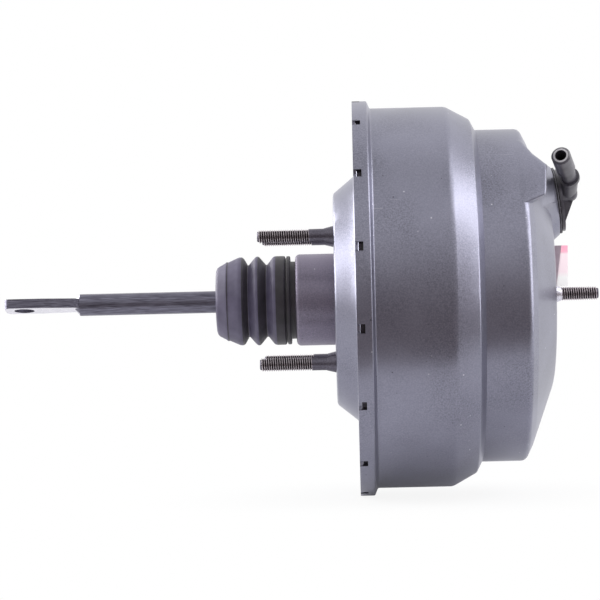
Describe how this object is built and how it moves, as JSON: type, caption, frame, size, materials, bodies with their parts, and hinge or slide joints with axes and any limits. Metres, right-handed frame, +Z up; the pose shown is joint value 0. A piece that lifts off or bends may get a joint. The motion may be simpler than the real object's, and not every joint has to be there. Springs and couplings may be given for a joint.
{
  "type": "brake booster",
  "caption": "Tandem vacuum brake booster: stepped steel shells, rubber boot, sliding pedal rod with an eye, mounting studs and a swivelling check valve with a hose nipple.",
  "frame": {"origin": "centre of the firewall mounting face, on the booster's axis", "axes": "+X along the axis towards the master cylinder and +Z up as fitted, so the pedal rod points along -X"},
  "size_m": [0.4275, 0.2862, 0.2862],
  "materials": {
    "shell_paint": "satin silver-grey paint with fine specks",
    "plated_steel": "zinc-plated pressed steel, satin",
    "dark_steel": "dark grey phosphated steel",
    "rod_steel": "dark drawn steel, satin",
    "spring_steel": "bright spring wire",
    "rubber": "matt black rubber",
    "boot_rubber": "bluish dark grey rubber with a slight sheen",
    "nylon": "natural nylon",
    "phenolic": "dark brown moulded phenolic",
    "black_plastic": "black moulded plastic with a slight sheen",
    "felt": "grey felt",
    "paper": "pale pink paper"
  },
  "bodies": {
    "shell": {"front_shell": "shell_paint", "rear_shell": "shell_paint", "stud_plate": "plated_steel", "firewall_studs": "dark_steel", "nose_plate": "plated_steel", "cylinder_studs": "dark_steel", "hub_seal": "rubber", "hub_bearing": "nylon", "key_stop_ring": "plated_steel", "divider": "plated_steel", "centre_seal": "rubber", "front_seal": "rubber", "front_seal_ring": "plated_steel", "valve_grommet": "rubber", "paper_tag": "paper", "dust_boot": "boot_rubber", "rear_diaphragm": "rubber", "front_diaphragm": "rubber", "return_spring": "spring_steel"},
    "piston": {"power_piston": "phenolic", "stop_key": "plated_steel", "poppet": "rubber", "poppet_retainer": "plated_steel", "poppet_spring": "spring_steel", "air_filter": "felt", "silencer": "felt", "rear_support": "plated_steel", "front_support": "plated_steel", "reaction_disc": "rubber", "output_rod": "dark_steel", "adjusting_screw": "dark_steel", "piston_cup": "plated_steel", "rod_return_spring": "spring_steel"},
    "plunger": {"plunger": "nylon"},
    "spring_seat": {"rod_spring_seat": "plated_steel"},
    "pedal_rod": {"pedal_rod": "rod_steel", "rod_clip": "spring_steel"},
    "check_valve": {"valve_body": "black_plastic", "check_spring": "spring_steel"},
    "check_disc": {"check_disc": "rubber"}
  },
  "joints": [
    {"name": "piston_slide", "type": "slide", "parent": "shell", "child": "piston", "axis": [1, 0, 0], "range_m": [0, 0.035], "stiffness_N_per_m": 4000, "springref_m": -0.025, "deforming": ["return_spring", "dust_boot", "rear_diaphragm", "front_diaphragm"]},
    {"name": "plunger_slide", "type": "slide", "parent": "piston", "child": "plunger", "axis": [1, 0, 0], "range_m": [0, 0.0025], "stiffness_N_per_m": 4000, "springref_m": -0.006, "deforming": ["rod_return_spring"]},
    {"name": "rod_tilt", "type": "hinge", "parent": "plunger", "child": "spring_seat", "pos_m": [-0.003, 0, 0], "axis": [0, 1, 0], "range_deg": [-2.5, 2.5], "stiffness_Nm_per_rad": 40, "springref_deg": 0.56},
    {"name": "rod_turn", "type": "hinge", "parent": "spring_seat", "child": "pedal_rod", "pos_m": [-0.003, 0, 0], "axis": [1, 0, 0], "continuous": true},
    {"name": "valve_swivel", "type": "hinge", "parent": "shell", "child": "check_valve", "pos_m": [0.1608, 0, 0.0676], "axis": [0.9925, 0, 0.1219], "range_deg": [-120, 50]},
    {"name": "check_lift", "type": "slide", "parent": "check_valve", "child": "check_disc", "axis": [0.9925, 0, 0.1219], "range_m": [0, 0.002], "stiffness_N_per_m": 60, "springref_m": -0.003, "deforming": ["check_spring"]}
  ]
}
